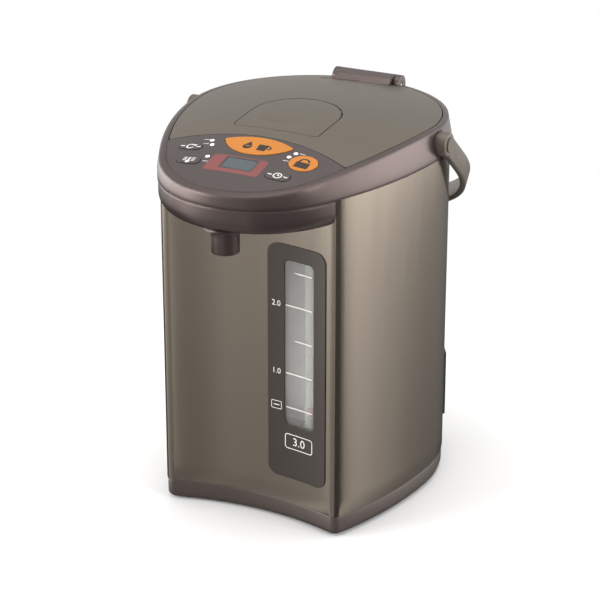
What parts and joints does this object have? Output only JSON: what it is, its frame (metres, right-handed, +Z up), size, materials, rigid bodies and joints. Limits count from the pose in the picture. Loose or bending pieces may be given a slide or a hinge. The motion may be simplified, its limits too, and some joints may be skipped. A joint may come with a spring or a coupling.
{
  "type": "electric thermo pot",
  "caption": "Heated and insulated water container in an egg-shaped case, with a pump, a gauge window, a spout beak, a hinged lid and a carrying bail.",
  "frame": {"origin": "on the resting plane, under the middle of the object's box to within 1.5 mm, with the bail hanging at the back", "axes": "+Z up; -Y towards the front, where the nozzle is; +X to the right hand of someone facing the back of the pot from the front"},
  "size_m": [0.2316, 0.2963, 0.3175],
  "materials": {
    "case_metal": "satin metallic lacquer, warm grey-brown",
    "collar_plastic": "satin metallic dark brown",
    "panel_plastic": "satin dark grey",
    "base_plastic": "matte dark brown",
    "dark_plastic": "matte black-brown",
    "gauge_plastic": "smooth dark grey-brown",
    "orange_key": "glossy orange",
    "grey_key": "satin dark grey",
    "display_glass": "dark liquid-crystal window",
    "circuit": "green solder resist",
    "light_white": "milky white",
    "clear_pane": "clear",
    "gauge_white": "light grey",
    "float_red": "red",
    "steel": "plain",
    "rubber_black": "matte",
    "silicone": "translucent white silicone",
    "insulation": "felted mineral fibre",
    "heater": "mica band with a brass skin",
    "light_plastic": "off-white",
    "magnet": "sintered magnet",
    "lid_metal": "satin metallic lacquer, warm grey-brown",
    "handle_plastic": "satin metallic brown",
    "contact_brass": "plain"
  },
  "bodies": {
    "pot": {"outer_shell": "case_metal", "base_ring": "base_plastic", "bottom_cover": "dark_plastic", "rubber_feet": "rubber_black", "bottom_screws": "steel", "collar": "collar_plastic", "beak_cover": "collar_plastic", "nozzle_tube": "dark_plastic", "control_panel": "panel_plastic", "display_window": "display_glass", "display_module": "dark_plastic", "control_board": "circuit", "status_lights": "light_white", "gauge_frame": "gauge_plastic", "gauge_pane": "clear_pane", "gauge_backing": "gauge_white", "gauge_tube": "clear_pane", "gauge_foot": "dark_plastic", "valve_body": "light_plastic", "spout_hose": "silicone", "riser_hose": "silicone", "inner_container": "steel", "container_seal": "silicone", "strainer": "steel", "band_heater": "heater", "insulation_jacket": "insulation", "support_plate": "steel", "heat_sensor": "heater", "suction_sleeve": "silicone", "pump_cover": "light_plastic", "pump_housing": "light_plastic", "motor_can": "steel", "pump_bracket": "dark_plastic", "power_board": "circuit", "inlet_socket": "dark_plastic", "inlet_pins": "contact_brass", "hinge_pin": "steel", "handle_pins": "handle_plastic"},
    "lid": {"lid_shell": "lid_metal", "lid_inner_cover": "light_plastic", "lid_gasket": "silicone", "steam_valve": "light_plastic", "lid_screws": "steel", "lever_pin": "steel", "latch_spring": "steel", "hinge_cover": "collar_plastic"},
    "lever": {"lid_lever": "lid_metal"},
    "latch": {"latch_bolt": "light_plastic"},
    "bail": {"handle": "handle_plastic"},
    "dispense_key": {"dispense_button": "orange_key"},
    "unlock_key": {"unlock_button": "orange_key"},
    "reboil_key": {"reboil_button": "grey_key"},
    "temperature_key": {"temperature_button": "grey_key"},
    "timer_key": {"timer_button": "grey_key"},
    "pump_rotor": {"impeller": "light_plastic", "impeller_magnet": "magnet"},
    "motor_rotor": {"motor_shaft": "steel", "drive_magnet": "magnet"},
    "float": {"float_ball": "float_red"},
    "tip_ball": {"valve_ball": "steel"}
  },
  "joints": [
    {"name": "lid_hinge", "type": "hinge", "parent": "pot", "child": "lid", "pos_m": [0, 0.1275, 0.3055], "axis": [-1, 0, 0], "range_deg": [0, 95]},
    {"name": "lever_tilt", "type": "hinge", "parent": "lid", "child": "lever", "pos_m": [0, 0.0145, 0.314], "axis": [-1, 0, 0], "range_deg": [0, 30], "stiffness_Nm_per_rad": 0.08, "springref_deg": -11.46},
    {"name": "latch_slide", "type": "slide", "parent": "lid", "child": "latch", "axis": [0, 1, 0], "range_m": [0, 0.0045], "stiffness_N_per_m": 40, "springref_m": -0.004, "deforming": ["latch_spring"]},
    {"name": "bail_swing", "type": "hinge", "parent": "pot", "child": "bail", "pos_m": [0, 0.0285, 0.296], "axis": [1, 0, 0], "range_deg": [0, 180]},
    {"name": "dispense_press", "type": "slide", "parent": "pot", "child": "dispense_key", "axis": [0, 0.2, -0.9798], "range_m": [0, 0.0006], "stiffness_N_per_m": 900, "springref_m": -0.0006},
    {"name": "unlock_press", "type": "slide", "parent": "pot", "child": "unlock_key", "axis": [0, 0.2, -0.9798], "range_m": [0, 0.0006], "stiffness_N_per_m": 900, "springref_m": -0.0006},
    {"name": "reboil_press", "type": "slide", "parent": "pot", "child": "reboil_key", "axis": [0, 0.2, -0.9798], "range_m": [0, 0.0006], "stiffness_N_per_m": 900, "springref_m": -0.0006},
    {"name": "temperature_press", "type": "slide", "parent": "pot", "child": "temperature_key", "axis": [0, 0.2, -0.9798], "range_m": [0, 0.0006], "stiffness_N_per_m": 900, "springref_m": -0.0006},
    {"name": "timer_press", "type": "slide", "parent": "pot", "child": "timer_key", "axis": [0, 0.2, -0.9798], "range_m": [0, 0.0006], "stiffness_N_per_m": 900, "springref_m": -0.0006},
    {"name": "pump_spin", "type": "hinge", "parent": "pot", "child": "pump_rotor", "pos_m": [0.026, 0.0045, 0.04], "axis": [0, 0, 1], "continuous": true},
    {"name": "motor_spin", "type": "hinge", "parent": "pot", "child": "motor_rotor", "pos_m": [0.026, 0.0045, 0.02], "axis": [0, 0, 1], "continuous": true},
    {"name": "float_rise", "type": "slide", "parent": "pot", "child": "float", "axis": [0, 0, 1], "range_m": [0, 0.125]},
    {"name": "tip_ball_rise", "type": "slide", "parent": "pot", "child": "tip_ball", "axis": [0, 0, 1], "range_m": [0, 0.002]}
  ],
  "couplings": [
    {"joint": "latch_slide", "follows": "lever_tilt", "m_per_rad": 0.008594},
    {"joint": "motor_spin", "follows": "pump_spin", "ratio": 1}
  ]
}
